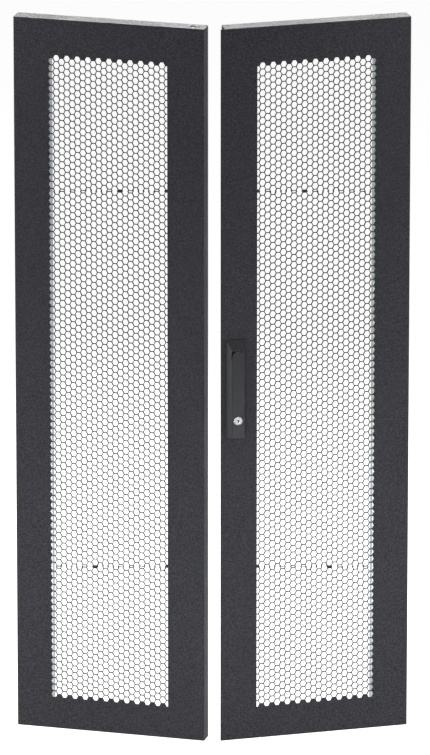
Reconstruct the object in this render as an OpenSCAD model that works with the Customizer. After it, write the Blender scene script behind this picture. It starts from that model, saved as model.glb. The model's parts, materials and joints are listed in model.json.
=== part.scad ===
// Double-leaf perforated door for a server rack, standing ajar.
// Millimetres, +Z up, the front faces -Y. A leaf is drawn closed, in its own
// coordinates: X runs from its outer edge to its free edge, Y from its front
// face to its back, Z from its bottom. left_place() and right_place() hang it
// on its hinge axis at the resting angle.

/* [Leaf] */
// Width of one leaf
leaf_w = 298; // [240:1:400]
// Height of both leaves
leaf_h = 1130; // [900:1:2000]
// Depth of the folded pan
leaf_d = 28; // [24:0.5:40]
// Thickness of the folded sheet
sheet_t = 1.5; // [1:0.1:2]
// Outside radius of the upright folds
bend_r = 2.5; // [2.2:0.1:3]
// Width of the flange that turns back in behind each side
return_w = 14; // [11:0.5:16]
// Gap between the closed leaves
leaf_gap = 2; // [1.5:0.5:6]
// Width of the folded-over lip on the handle leaf
lip_w = 8; // [6:0.5:8]
// Angle at which both leaves stand open
open_deg = 15; // [0:1:60]

/* [Perforation] */
// Plain margin beside the hinges
margin_hinge = 55.3; // [50:0.1:80]
// Plain margin beside the free edge
margin_free = 55.4; // [50:0.1:80]
// Plain margin above the holes
margin_top = 57; // [40:1:120]
// Plain margin below the holes
margin_bottom = 53; // [40:1:120]
// Distance between the centres of neighbouring hexagonal holes
hole_pitch = 32.8; // [30:0.1:50]
// Width of the metal left between two holes
hole_web = 3.8; // [2:0.1:8]

/* [Hinges] */
// Distance from the outer edge to the hinge axis
axis_in = 8; // [8:0.1:9]
// Distance from the front face to the hinge axis
axis_back = 8; // [8:0.1:9]
// Diameter of a hinge pin
pin_d = 6; // [4:0.1:7]
// Radial running clearance of the pins and spindles
run_gap = 0.05; // [0.02:0.01:0.1]
// Clearance between faces that pass each other
pass_gap = 0.3; // [0.2:0.05:0.5]
// Outside diameter of the hinge barrel
barrel_d = 10; // [9.4:0.1:10]
// Height of the hinge barrel
barrel_h = 24; // [16:1:40]
// Distance from a leaf's end to the middle of its hinge
hinge_inset = 120; // [100:1:200]
// Thickness of the hinge ears and arms
ear_t = 3; // [2:0.1:3.5]
// Space between the closed leaf and the plate on the cabinet
plate_gap = 3; // [3:0.5:8]
// Thickness of the plate on the cabinet
plate_t = 3; // [2:0.1:5]
// Width of the plate on the cabinet
plate_w = 30; // [26:1:40]
// Height of the plate on the cabinet
plate_h = 66; // [56:1:90]
// Distance between the two screw holes of a plate
plate_pitch = 46; // [40:1:50]
// Diameter of the screw holes in a plate
plate_hole_d = 5.5; // [4:0.1:6.5]

/* [Stiffeners] */
// Thickness of the stiffener sheet
stiff_t = 1.2; // [0.8:0.1:1.5]
// Depth of the stiffeners
stiff_d = 12; // [8:0.5:16]
// Distance from the outer edge to the stiffener beside the hinges
stiff_start = 20; // [20:0.5:24]
// How far that stiffener shows behind the first column of holes
stiff_show = 2.2; // [1:0.1:8]
// Width of the stiffener beside the free edge
stiff_free_w = 14; // [10:0.5:15]
// Gap between a stiffener and the top and bottom flanges
stiff_end = 1; // [0.5:0.5:20]

/* [Handle] */
// Width of the handle's base
base_w = 30.5; // [28:0.5:34]
// Height of the handle's base
base_h = 155; // [140:1:200]
// How far the base stands off the leaf
base_rise = 6.5; // [6:0.1:9]
// Distance from the free edge to the base
base_in = 8.4; // [7:0.1:9]
// Run of the bevels along the base's sides
bevel_side = 6; // [3:0.1:6.5]
// Run of the bevel at the base's top
bevel_top = 15; // [8:0.5:18]
// Run of the bevel at the base's foot
bevel_foot = 2.5; // [1:0.1:6]
// Width of the lever
lever_w = 18; // [17.6:0.1:19]
// Thickness of the lever
lever_t = 6; // [5.8:0.1:8]
// Distance from the spindle's axis up to the lever's pivot
pivot_up = 4; // [3:0.1:5]
// Diameter of the lever's pivot pin
pivot_d = 2.2; // [1.5:0.1:2.6]
// Gap round the lever's arched head
arch_gap = 1.3; // [1.1:0.1:2]
// Diameter of the lock
lock_d = 14.5; // [12:0.1:16]
// Diameter of the plug that turns in the lock
plug_d = 10.9; // [8:0.1:11]
// Height of the lock's axis above the foot of the base
lock_up = 30; // [20:0.5:50]
// How far the lock stands out of the lever
lock_proud = 2; // [0.5:0.1:4]

/* [Gearbox] */
// Number of teeth on the pinion
teeth = 16; // [12:2:18]
// Module of the teeth
gear_module = 1; // [0.8:0.01:1]
// Thickness of the pinion
pinion_t = 4; // [3.6:0.1:6]
// Play between meshing teeth
backlash = 0.2; // [0.1:0.01:0.3]
// Distance from the leaf's inside face to the pinion
pinion_in = 4; // [3.5:0.1:6]
// Thickness of the gearbox cover
cover_t = 2; // [1.5:0.1:3]
// Height of the gearbox
box_h = 56; // [52:1:80]
// Diameter of the spindle
spindle_d = 10; // [8:0.1:10.4]
// Diameter of the spindle where it passes the cover
spindle_end_d = 8; // [6:0.1:8]

/* [Rods] */
// Thickness of the rods
rod_t = 3; // [2:0.1:3.4]
// Distance from the spindle's axis to the outer edge of a rod
rod_reach = 12.5; // [12.3:0.1:12.6]
// Width of a rod
rod_w = 8.5; // [6:0.1:8.5]
// Distance from a leaf's end to the tip of a rod
rod_end = 30; // [15:1:60]

/* [Slide bolts] */
// Diameter of a slide bolt
bolt_d = 8; // [6:0.1:9]
// Travel of a slide bolt
bolt_travel = 15; // [8:0.5:20]
// Distance from the free edge to the bolts' axis
bolt_in = 20; // [16:0.5:24]
// Height of a bolt's guide block
guide_h = 40; // [25:1:60]
// Clearance round a bolt where it passes the end flange
bolt_hole_gap = 0.5; // [0.3:0.1:1]

/* [Hidden] */

$fn = 48;
black = [0.09, 0.09, 0.1];
zinc = [0.68, 0.7, 0.72];

// Hinge axis
hinge_x = leaf_w + leaf_gap / 2 - axis_in;
plate_y = leaf_d - axis_back + plate_gap;
hinge_zs = [hinge_inset, leaf_h - hinge_inset];
barrel_r = barrel_d / 2;
pin_r = pin_d / 2;

// Spindle, lever and lock, in the leaf's coordinates
handle_x = leaf_w - base_in - base_w / 2;
base_z = (leaf_h - base_h) / 2;
arch_z = base_z + base_h - bevel_top;
spindle_z = arch_z - lever_w / 2;
lever_foot = base_z + bevel_foot;
lever_back = base_rise + pass_gap;
lever_front = lever_back + lever_t;
pivot_y = -(lever_back + lever_front) / 2;
pivot_z = spindle_z + pivot_up;
lock_z = base_z + lock_up;
spindle_r = spindle_d / 2;
floor_t = 1.8;
disc_r = lever_w / 2;
disc_t = 1;
lug_r = 2;
lug_w = 6;

// Pinion and racks
pitch_r = gear_module * teeth / 2;
tip_r = pitch_r + 0.9 * gear_module;
root_r = pitch_r - 1.25 * gear_module;
tooth_step = PI * gear_module;
rod_travel = pitch_r * PI / 2;
pinion_y = sheet_t + pinion_in;
rod_y = pinion_y + (pinion_t - rod_t) / 2;
box_back = pinion_y + pinion_t + pass_gap;

// The hinge axis lies so that the whole door is centred on the origin
front_lock = (handle_x - axis_in + lock_d / 2) * sin(open_deg)
  + (lever_front + lock_proud + axis_back) * cos(open_deg);
front_lever = (handle_x - axis_in + lever_w / 2) * sin(open_deg)
  + (lever_front + axis_back) * cos(open_deg);
front_edge = (leaf_w - axis_in) * sin(open_deg) + axis_back * cos(open_deg);
hinge_y = (max(front_lock, front_lever, front_edge) - plate_y - plate_t) / 2;

// Perforated field
hole_af = hole_pitch - hole_web;
hole_r = hole_af / sqrt(3);
column_step = hole_pitch * sqrt(3) / 2;
field_right = leaf_w - margin_free;
field_h = leaf_h - margin_top - margin_bottom;
columns = floor((field_right - margin_hinge - hole_r) / column_step + 0.001) + 1;
rows_even = floor((field_h - hole_af) / hole_pitch) + 1;
rows_odd = floor((field_h - hole_af - hole_pitch / 2) / hole_pitch) + 1;
pattern_h = hole_af + max((rows_even - 1) * hole_pitch, (rows_odd - 0.5) * hole_pitch);
pattern_z = margin_bottom + (field_h - pattern_h) / 2;

// ---- Placing ----

module left_place() {
  translate([-hinge_x, hinge_y, 0])
    rotate([0, 0, -open_deg])
      translate([-axis_in, -axis_back, 0])
        children();
}

module right_place() {
  mirror([1, 0, 0])
    left_place()
      children();
}

// Turns a shape drawn in X and Z into a plate that starts at y and is t thick
module upright(y, t) {
  translate([0, y + t, 0])
    rotate([90, 0, 0])
      linear_extrude(t)
        children();
}

// A cylinder along Y from y0 to y1
module bar(x, z, y0, y1, r) {
  translate([x, y1, z])
    rotate([90, 0, 0])
      cylinder(r = r, h = y1 - y0);
}

// ---- Folded pan ----

function bend(c, r, a0, a1) = [
  for (k = [0 : 4]) c + r * [cos(a0 + (a1 - a0) * k / 4), sin(a0 + (a1 - a0) * k / 4)]
];

// Outline of the pan from above. Its free side ends in a plain flange, or, where lip
// is over 0, in a sheet folded flat on itself and turned back beside the lip
function pan_outline(lip) = let (
  o = bend_r, i = bend_r - sheet_t, t = sheet_t, d = leaf_d, w = leaf_w - lip
) concat(
  bend([o, d - o], o, 90, 180),
  bend([o, o], o, 180, 270),
  lip == 0 ? bend([w - o, o], o, 270, 360) : concat(
    bend([leaf_w - t, t], t, 270, 450),
    bend([w + i, 2 * t + i], i, 270, 180)
  ),
  bend([w - o, d - o], o, 0, 90)
);

// The space inside it, which is open behind between the returned flanges
function pan_hollow(lip) = let (
  o = bend_r, i = bend_r - sheet_t, t = sheet_t, d = leaf_d, w = leaf_w - lip
) concat(
  [[w - return_w, d + 1], [w - return_w, d - t]],
  bend([w - o, d - o], i, 90, 0),
  lip == 0 ? bend([w - o, o], i, 360, 270) : bend([w - t + o, t + o], o, 180, 270),
  bend([o, o], i, 270, 180),
  bend([o, d - o], i, 180, 90),
  [[return_w, d - t], [return_w, d + 1]]
);

// Seen from the side, the sheet is folded back above and below in the same way
function end_folds(r, inset) = concat(
  bend([bend_r, bend_r], r, 180, 270),
  [[leaf_d + 2, inset], [leaf_d + 2, leaf_h - inset]],
  bend([bend_r, leaf_h - bend_r], r, 90, 180)
);

// Pulls a shape drawn in Y and Z along X
module lengthways() {
  translate([-1, 0, 0])
    rotate([90, 0, 90])
      linear_extrude(leaf_w + 2)
        children();
}

module pan(lip) {
  difference() {
    intersection() {
      linear_extrude(leaf_h) polygon(pan_outline(lip));
      lengthways() polygon(end_folds(bend_r, 0));
    }
    intersection() {
      linear_extrude(leaf_h) polygon(pan_hollow(lip));
      lengthways() polygon(end_folds(bend_r - sheet_t, sheet_t));
    }
  }
}

module hexagons() {
  for (c = [0 : columns - 1]) {
    odd = c % 2;
    for (r = [0 : (odd == 1 ? rows_odd : rows_even) - 1])
      translate([field_right - c * column_step, pattern_z + hole_af / 2 + (r + odd / 2) * hole_pitch])
        circle(r = hole_r, $fn = 6);
  }
}

module perforation() {
  upright(-1, sheet_t + 2)
    intersection() {
      hexagons();
      square([field_right, leaf_h]);
    }
}

// Openings in the side flange through which the hinge arms reach the barrels
module arm_notches() {
  for (z = hinge_zs)
    translate([-1, axis_back - barrel_r - 1, z - barrel_h / 2 - pass_gap])
      cube([return_w + 2, leaf_d, barrel_h + 2 * pass_gap]);
}

module left_skin() {
  color(black)
    left_place()
      difference() {
        pan(0);
        perforation();
        arm_notches();
        for (z = [-1, leaf_h - sheet_t - 1])
          translate([leaf_w - bolt_in, leaf_d / 2, z])
            cylinder(r = bolt_d / 2 + bolt_hole_gap, h = sheet_t + 2);
      }
}

module right_skin() {
  color(black)
    right_place()
      difference() {
        pan(lip_w);
        perforation();
        arm_notches();
        bar(handle_x, spindle_z, -1, 2 * sheet_t + 1, spindle_r + 1);
        for (z = screw_zs)
          bar(handle_x, z, -1, 2 * sheet_t + 1, screw_r);
      }
}

// ---- Hinges ----

// Cabinet half: a plate on the frame, an arm and a bored barrel
module hinge_plate(z) {
  difference() {
    union() {
      translate([0, 0, z - barrel_h / 2])
        cylinder(r = barrel_r, h = barrel_h);
      translate([-ear_t / 2, pin_r + 1, z - barrel_h / 2])
        cube([ear_t, plate_y - pin_r, barrel_h]);
      translate([-axis_in, plate_y, z - plate_h / 2])
        cube([plate_w, plate_t, plate_h]);
    }
    translate([0, 0, z - barrel_h / 2 - 1])
      cylinder(r = pin_r + run_gap, h = barrel_h + 2);
    for (side = [-1, 1])
      bar(plate_w / 2 - axis_in, z + side * plate_pitch / 2, plate_y - 1,
        plate_y + plate_t + 1, plate_hole_d / 2);
  }
}

module left_lower_hinge_plate() {
  color(zinc) translate([-hinge_x, hinge_y, 0]) hinge_plate(hinge_zs[0]);
}

module left_upper_hinge_plate() {
  color(zinc) translate([-hinge_x, hinge_y, 0]) hinge_plate(hinge_zs[1]);
}

module right_lower_hinge_plate() {
  color(zinc) mirror([1, 0, 0]) translate([-hinge_x, hinge_y, 0]) hinge_plate(hinge_zs[0]);
}

module right_upper_hinge_plate() {
  color(zinc) mirror([1, 0, 0]) translate([-hinge_x, hinge_y, 0]) hinge_plate(hinge_zs[1]);
}

// Leaf half: two ears on a web that is welded behind the front sheet
web_t = axis_back - barrel_r - sheet_t - pass_gap;
web_gap = 0.5;
ear_rim = 0.8;
pin_head_t = 2;
pin_head_r = pin_r + 1.5;
ear_z = barrel_h / 2 + pass_gap;

module hinge_brackets() {
  for (z = hinge_zs)
    difference() {
      union() {
        translate([bend_r + web_gap, sheet_t, z - ear_z - ear_t])
          cube([stiff_start - bend_r - 2 * web_gap, web_t, 2 * (ear_z + ear_t)]);
        for (foot = [-ear_z - ear_t, ear_z])
          translate([axis_in, axis_back, z + foot]) {
            cylinder(r = barrel_r + ear_rim, h = ear_t);
            translate([-barrel_r, sheet_t - axis_back, 0])
              cube([2 * barrel_r, axis_back - sheet_t, ear_t]);
          }
      }
      translate([axis_in, axis_back, z - ear_z - ear_t - 1])
        cylinder(r = pin_r, h = 2 * (ear_z + ear_t) + 2);
    }
}

module hinge_pins() {
  for (z = hinge_zs)
    translate([axis_in, axis_back, z]) {
      translate([0, 0, -ear_z - ear_t - pin_head_t])
        cylinder(r = pin_r, h = 2 * (ear_z + ear_t) + pin_head_t);
      translate([0, 0, ear_z + ear_t])
        cylinder(r = pin_head_r, h = pin_head_t);
    }
}

module left_hinge_brackets() {
  color(zinc) left_place() hinge_brackets();
}

module right_hinge_brackets() {
  color(zinc) right_place() hinge_brackets();
}

module left_hinge_pins() {
  color("silver") left_place() hinge_pins();
}

module right_hinge_pins() {
  color("silver") right_place() hinge_pins();
}

// ---- Stiffeners: channels that lie behind the plain margins ----

module channel(x, w) {
  z0 = sheet_t + stiff_end;
  h = leaf_h - 2 * z0;
  translate([x, sheet_t, z0]) {
    cube([w, stiff_t, h]);
    for (side = [0, w - stiff_t])
      translate([side, 0, 0])
        cube([stiff_t, stiff_d, h]);
  }
}

module hinge_stiffener() {
  channel(stiff_start, margin_hinge + stiff_show - stiff_start);
}

stiff_gap = 1;

module free_stiffener() {
  channel(field_right + stiff_gap, stiff_free_w);
}

module left_hinge_stiffener() {
  color(zinc) left_place() hinge_stiffener();
}

module right_hinge_stiffener() {
  color(zinc) right_place() hinge_stiffener();
}

module left_free_stiffener() {
  color(black) left_place() free_stiffener();
}

module right_free_stiffener() {
  color(black) right_place() free_stiffener();
}

// ---- Rubber buffers on the returned flange of the free side ----

module buffers(x) {
  buffer_r = 4.5;
  buffer_t = 1.6;
  for (z = [hinge_inset / 2, leaf_h - hinge_inset / 2])
    bar(x - return_w / 2, z, leaf_d, leaf_d + buffer_t, buffer_r);
}

module left_buffers() {
  color("dimgray") left_place() buffers(leaf_w);
}

module right_buffers() {
  color("dimgray") right_place() buffers(leaf_w - lip_w);
}

// ---- Earthing studs, welded inside the bottom margin ----

stud_r = 3;
stud_l = 16;
stud_in = 20;
stud_x = margin_hinge + stiff_show + stud_in;
stud_z = margin_bottom / 2;
nut_t = 5;
nut_d = 11.5;
groove_t = 0.6;
groove_deep = 0.4;

// The thread runs out in a groove above the nut
module earth_stud() {
  bar(stud_x, stud_z, sheet_t, sheet_t + nut_t, stud_r);
  bar(stud_x, stud_z, sheet_t + nut_t - 1, sheet_t + nut_t + groove_t + 1, stud_r - groove_deep);
  bar(stud_x, stud_z, sheet_t + nut_t + groove_t, sheet_t + stud_l, stud_r);
}

module earth_nut() {
  difference() {
    upright(sheet_t, nut_t)
      translate([stud_x, stud_z])
        circle(d = nut_d, $fn = 6);
    bar(stud_x, stud_z, sheet_t - 1, sheet_t + nut_t + 1, stud_r);
  }
}

module left_earth_stud() {
  color("silver") left_place() earth_stud();
}

module right_earth_stud() {
  color("silver") right_place() earth_stud();
}

module left_earth_nut() {
  color("silver") left_place() earth_nut();
}

module right_earth_nut() {
  color("silver") right_place() earth_nut();
}

// ---- Slide bolts of the leaf without a handle ----

bolt_x = leaf_w - bolt_in;
bolt_r = bolt_d / 2;
knob_r = 5;
knob_sunk = 2;
knob_end = leaf_d - knob_sunk;
bolt_back = 1.5;
bolt_tip = sheet_t + bolt_back;
bolt_over = 2;
guide_z = 45;
guide_wall = 3;
knob_gap = 1;
knob_z = guide_z + guide_h + bolt_travel + knob_r + knob_gap;

// One bolt at the leaf's bottom, drawn back
module slide_bolt() {
  translate([bolt_x, leaf_d / 2, bolt_tip])
    cylinder(r = bolt_r, h = knob_z + knob_r + bolt_over - bolt_tip);
  bar(bolt_x, knob_z, leaf_d / 2, knob_end, knob_r);
}

module bolt_guide() {
  difference() {
    translate([bolt_x - bolt_r - guide_wall, sheet_t, guide_z])
      cube([bolt_d + 2 * guide_wall, leaf_d / 2 + bolt_r + guide_wall - sheet_t, guide_h]);
    translate([bolt_x, leaf_d / 2, guide_z - 1])
      cylinder(r = bolt_r + run_gap, h = guide_h + 2);
  }
}

module at_top() {
  translate([0, 0, leaf_h])
    mirror([0, 0, 1])
      children();
}

module left_bolt_guides() {
  color("dimgray")
    left_place() {
      bolt_guide();
      at_top() bolt_guide();
    }
}

module left_bottom_bolt() {
  color("silver") left_place() slide_bolt();
}

module left_top_bolt() {
  color("silver") left_place() at_top() slide_bolt();
}

// ---- Handle base: a bevelled plinth with a round seat for the spindle's disc ----

screw_r = 2;
head_r = 3.5;
head_t = 2.5;
screw_in = 8;
screw_up = 10;
screw_zs = [spindle_z - box_h / 2 + screw_in, spindle_z + box_h / 2 - screw_in, base_z + screw_up];
screw_bite = 4;
foot_t = 0.8;

// The free side and the top rise beside the lever. Its path is cleared on the hinge side
module lever_path() {
  translate([handle_x - base_w, -lever_front - 1, base_z - 1])
    cube([base_w + lever_w / 2 + pass_gap, lever_t + pass_gap + 1, arch_z - base_z + 1 + pass_gap]);
  bar(handle_x, spindle_z, -lever_front - 1, -base_rise, lever_w / 2 + arch_gap);
  bar(handle_x, spindle_z, -base_rise - 1, -floor_t, disc_r + pass_gap);
}

module handle_base() {
  color(black)
    right_place()
      difference() {
        hull() {
          translate([handle_x - base_w / 2, -foot_t, base_z])
            cube([base_w, foot_t, base_h]);
          translate([handle_x - base_w / 2 + bevel_side, -lever_front + foot_t, base_z + bevel_foot])
            cube([base_w - 2 * bevel_side, foot_t, base_h - bevel_foot - bevel_top + arch_gap]);
        }
        lever_path();
        bar(handle_x, spindle_z, -base_rise - 1, 1, spindle_r + run_gap);
        for (z = screw_zs)
          bar(handle_x, z, -screw_bite, 1, screw_r);
      }
}

// One screw from inside the leaf holds the base's foot
module base_screw() {
  color("silver")
    right_place() {
      bar(handle_x, screw_zs[2], -screw_bite, sheet_t, screw_r);
      bar(handle_x, screw_zs[2], sheet_t, sheet_t + head_t, head_r);
    }
}

// ---- Gearbox behind the handle ----

box_z = spindle_z - box_h / 2;
box_gap = 0.2;
box_half = leaf_w - lip_w - sheet_t - box_gap - handle_x;

module rod_slots(z0, z1) {
  for (side = [-1, 1])
    translate([handle_x + side * (rod_reach - rod_w / 2) - rod_w / 2 - pass_gap,
        rod_y - pass_gap, z0])
      cube([rod_w + 2 * pass_gap, rod_t + 2 * pass_gap, z1 - z0]);
}

module gearbox_case() {
  color("gray")
    right_place()
      difference() {
        translate([handle_x - box_half, sheet_t, box_z])
          cube([2 * box_half, box_back - sheet_t, box_h]);
        rod_slots(box_z - 1, box_z + box_h + 1);
        bar(handle_x, spindle_z, pinion_y - pass_gap, box_back + 1, tip_r + 2 * pass_gap);
        bar(handle_x, spindle_z, 0, pinion_y, spindle_r + run_gap);
        for (k = [0, 1])
          bar(handle_x, screw_zs[k], 0, box_back + 1, screw_r);
      }
}

module gearbox_cover() {
  color(zinc)
    right_place()
      difference() {
        translate([handle_x - box_half, box_back, box_z])
          cube([2 * box_half, cover_t, box_h]);
        bar(handle_x, spindle_z, box_back - 1, box_back + cover_t + 1,
          spindle_end_d / 2 + run_gap);
        for (k = [0, 1])
          bar(handle_x, screw_zs[k], box_back - 1, box_back + cover_t + 1, screw_r);
      }
}

module gearbox_screws() {
  color("silver")
    right_place()
      for (k = [0, 1]) {
        bar(handle_x, screw_zs[k], -screw_bite, box_back + cover_t, screw_r);
        bar(handle_x, screw_zs[k], box_back + cover_t, box_back + cover_t + head_t, head_r);
      }
}

// ---- Spindle with the lug that carries the lever ----

clip_y = box_back + cover_t + pass_gap;
clip_t = 1;
clip_w = 2;
end_over = 1;

module spindle() {
  color(zinc)
    right_place() {
      difference() {
        union() {
          bar(handle_x, spindle_z, -floor_t - pass_gap - disc_t, -floor_t - pass_gap, disc_r);
          translate([handle_x - lug_w / 2, pivot_y, pivot_z - lug_r])
            cube([lug_w, -floor_t - pass_gap - disc_t / 2 - pivot_y, 2 * lug_r]);
          translate([handle_x - lug_w / 2, pivot_y, pivot_z])
            rotate([0, 90, 0])
              cylinder(r = lug_r, h = lug_w);
        }
        translate([handle_x - lug_w, pivot_y, pivot_z])
          rotate([0, 90, 0])
            cylinder(r = pivot_d / 2 + run_gap, h = 2 * lug_w);
      }
      bar(handle_x, spindle_z, -floor_t - pass_gap - disc_t / 2, pinion_y + pinion_t, spindle_r);
      bar(handle_x, spindle_z, pinion_y + pinion_t - 1, clip_y + clip_t + end_over, spindle_end_d / 2);
    }
}

module spindle_clip() {
  color("silver")
    right_place()
      difference() {
        bar(handle_x, spindle_z, clip_y, clip_y + clip_t, spindle_end_d / 2 + clip_w);
        bar(handle_x, spindle_z, clip_y - 1, clip_y + clip_t + 1, spindle_end_d / 2);
      }
}

// Involute tooth: half its angle at radius r
pressure = 20;
base_r = pitch_r * cos(pressure);
function inv(a) = tan(a) * 180 / PI - a;
function half_angle(r) = (90 / teeth) - (backlash / 4 / pitch_r) * 180 / PI
  + inv(pressure) - (r > base_r ? inv(acos(base_r / r)) : 0);
flank = [root_r, for (k = [0 : 5]) base_r + (tip_r - base_r) * k / 5];
function polar(r, a) = [r * cos(a), r * sin(a)];
function tooth(a) = concat(
  [for (r = flank) polar(r, a - half_angle(r))],
  [for (k = [len(flank) - 1 : -1 : 0]) polar(flank[k], a + half_angle(flank[k]))]
);

module pinion() {
  color("goldenrod")
    right_place()
      difference() {
        upright(pinion_y, pinion_t)
          translate([handle_x, spindle_z])
            polygon([for (k = [0 : teeth - 1]) each tooth(k * 360 / teeth)]);
        bar(handle_x, spindle_z, pinion_y - 1, pinion_y + pinion_t + 1, spindle_r);
      }
}

// ---- Rods with rack teeth. Drawn to the right of the pinion, running up ----

rack_root = pitch_r + 1.25 * gear_module;
rack_tip = pitch_r - 0.9 * gear_module;
function rack_half(x) = tooth_step / 4 - backlash / 4 + (x - pitch_r) * tan(pressure);
rack_low = -3;
rack_high = 7;
rod_in = rod_reach - rod_w;
rod_top = leaf_h - rod_end - spindle_z;
nose = 3;
run_out = 4;

function rack_tooth(k) = let (z = (k + 0.5) * tooth_step) [
  [rack_root, z - rack_half(rack_root)], [rack_tip, z - rack_half(rack_tip)],
  [rack_tip, z + rack_half(rack_tip)], [rack_root, z + rack_half(rack_root)]
];

module rod_shape(top) {
  polygon(concat(
    [[rod_reach, rack_low * tooth_step], [rack_root, rack_low * tooth_step]],
    [for (k = [rack_low : rack_high - 1]) each rack_tooth(k)],
    [
      [rack_root, rack_high * tooth_step], [rod_in, rack_high * tooth_step + run_out],
      [rod_in, top - nose], [rod_in + nose / 2, top],
      [rod_reach - nose / 2, top], [rod_reach, top - nose]
    ]
  ));
}

module upper_rod() {
  color(zinc)
    right_place()
      upright(rod_y, rod_t)
        translate([handle_x, spindle_z])
          rod_shape(rod_top);
}

module lower_rod() {
  color(zinc)
    right_place()
      upright(rod_y, rod_t)
        translate([handle_x, spindle_z])
          rotate(180)
            rod_shape(spindle_z - rod_end);
}

// Guides that hold each rod near its tip and half way along
guide_l = 16;
guide_in = 60;
guide_cap = 3;
guide_side = 1;

module rod_guide(side, z) {
  x = handle_x + side * (rod_reach - rod_w / 2);
  difference() {
    translate([x - rod_w / 2 - pass_gap - guide_side, sheet_t, z])
      cube([rod_w + 2 * (pass_gap + guide_side), rod_y + rod_t + guide_cap - sheet_t, guide_l]);
    translate([x - rod_w / 2 - pass_gap, rod_y - pass_gap, z - 1])
      cube([rod_w + 2 * pass_gap, rod_t + 2 * pass_gap, guide_l + 2]);
  }
}

module rod_guides() {
  color("dimgray")
    right_place() {
      for (z = [spindle_z + rod_top / 2, leaf_h - rod_end - guide_in])
        rod_guide(1, z);
      for (z = [spindle_z / 2, rod_end + guide_in - guide_l])
        rod_guide(-1, z);
    }
}

// ---- Lever ----

lever_r = lever_w / 2;
lever_corner = 2;
pin_short = 0.2;
function arch() = [for (k = [0 : 24]) [lever_r * cos(180 * k / 24), spindle_z + lever_r * sin(180 * k / 24)]];

module lever() {
  color(black)
    right_place()
      difference() {
        upright(-lever_front, lever_t)
          translate([handle_x, 0])
            polygon(concat(arch(), [
              [-lever_r, lever_foot + lever_corner], [-lever_r + lever_corner, lever_foot],
              [lever_r - lever_corner, lever_foot], [lever_r, lever_foot + lever_corner]
            ]));
        translate([handle_x - lug_w / 2 - pass_gap, pivot_y - lug_r - pass_gap, pivot_z - lug_r - pass_gap])
          cube([lug_w + 2 * pass_gap, lever_t, lever_w]);
        translate([handle_x - lever_w, pivot_y, pivot_z])
          rotate([0, 90, 0])
            cylinder(r = pivot_d / 2, h = 2 * lever_w);
        bar(handle_x, lock_z, -lever_front - 1, -lever_back + 1, lock_d / 2);
      }
}

module lever_pin() {
  half = sqrt(lever_r * lever_r - (pivot_up + pivot_d / 2) * (pivot_up + pivot_d / 2)) - pin_short;
  color("silver")
    right_place()
      translate([handle_x - half, pivot_y, pivot_z])
        rotate([0, 90, 0])
          cylinder(r = pivot_d / 2, h = 2 * half);
}

module lock_housing() {
  color("silver")
    right_place()
      difference() {
        bar(handle_x, lock_z, -lever_front - lock_proud, -lever_back, lock_d / 2);
        bar(handle_x, lock_z, -lever_front - lock_proud - 1, -lever_back - 1, plug_d / 2 + run_gap);
      }
}

key_w = 1.6;
key_h = 7;
key_deep = 4;
plug_sunk = 0.4;

module lock_plug() {
  color("silver")
    right_place()
      difference() {
        bar(handle_x, lock_z, -lever_front - lock_proud + plug_sunk, -lever_back - 1 - pass_gap, plug_d / 2);
        translate([handle_x - key_w / 2, -lever_front - lock_proud - 1, lock_z - key_h / 2])
          cube([key_w, key_deep + 1, key_h]);
      }
}

left_lower_hinge_plate();
left_upper_hinge_plate();
right_lower_hinge_plate();
right_upper_hinge_plate();
left_skin();
left_hinge_stiffener();
left_free_stiffener();
left_hinge_brackets();
left_hinge_pins();
left_buffers();
left_earth_stud();
left_earth_nut();
left_bolt_guides();
left_top_bolt();
left_bottom_bolt();
right_skin();
right_hinge_stiffener();
right_free_stiffener();
right_hinge_brackets();
right_hinge_pins();
right_buffers();
right_earth_stud();
right_earth_nut();
handle_base();
base_screw();
gearbox_case();
gearbox_cover();
gearbox_screws();
rod_guides();
spindle();
pinion();
spindle_clip();
lever();
lever_pin();
lock_housing();
lock_plug();
upper_rod();
lower_rod();
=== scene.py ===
# %% [markdown]
# # A perforated double-leaf door for a server rack
# The door is two folded sheet-steel leaves, standing ajar. The model that was drawn for
# machining and physics is loaded first and is never moved. What Blender adds is the fine
# pattern of holes, the small edges and threads, the finishes and the light of a studio.
# %% Load the model
import json
import math
import bmesh
import bpy
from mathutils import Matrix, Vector, geometry


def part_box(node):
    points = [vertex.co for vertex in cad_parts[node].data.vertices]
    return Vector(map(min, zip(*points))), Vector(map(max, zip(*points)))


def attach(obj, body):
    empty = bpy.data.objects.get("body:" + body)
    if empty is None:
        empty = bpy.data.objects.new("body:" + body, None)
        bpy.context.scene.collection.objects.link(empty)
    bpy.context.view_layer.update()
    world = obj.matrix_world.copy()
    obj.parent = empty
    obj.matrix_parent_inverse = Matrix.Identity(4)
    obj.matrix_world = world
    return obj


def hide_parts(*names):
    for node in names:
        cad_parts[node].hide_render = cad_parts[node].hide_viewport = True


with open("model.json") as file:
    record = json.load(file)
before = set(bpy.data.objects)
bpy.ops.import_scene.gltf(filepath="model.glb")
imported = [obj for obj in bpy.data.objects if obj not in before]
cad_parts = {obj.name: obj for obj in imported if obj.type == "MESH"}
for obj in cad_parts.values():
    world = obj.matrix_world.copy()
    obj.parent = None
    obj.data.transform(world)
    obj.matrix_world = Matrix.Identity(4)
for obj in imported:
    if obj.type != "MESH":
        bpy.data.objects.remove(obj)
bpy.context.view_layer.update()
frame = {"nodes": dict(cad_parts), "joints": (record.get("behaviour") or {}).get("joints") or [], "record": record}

# %% [markdown]
# ## The camera
# A door is best seen from a little above and far away, so that its upright lines stay
# nearly parallel. A long lens from 14 m gives that. The aim point is a bit above the
# middle of the door, which leaves equal white above and below it.
# %% Camera
DISTANCE = 13.956
LOOK_DOWN = math.radians(17)
AIM_Z = 0.5694
SENSOR_MM = 36
LENS_MM = 436.8
SIDE_SHIFT = 0.0036
FARTHEST = 60

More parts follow.
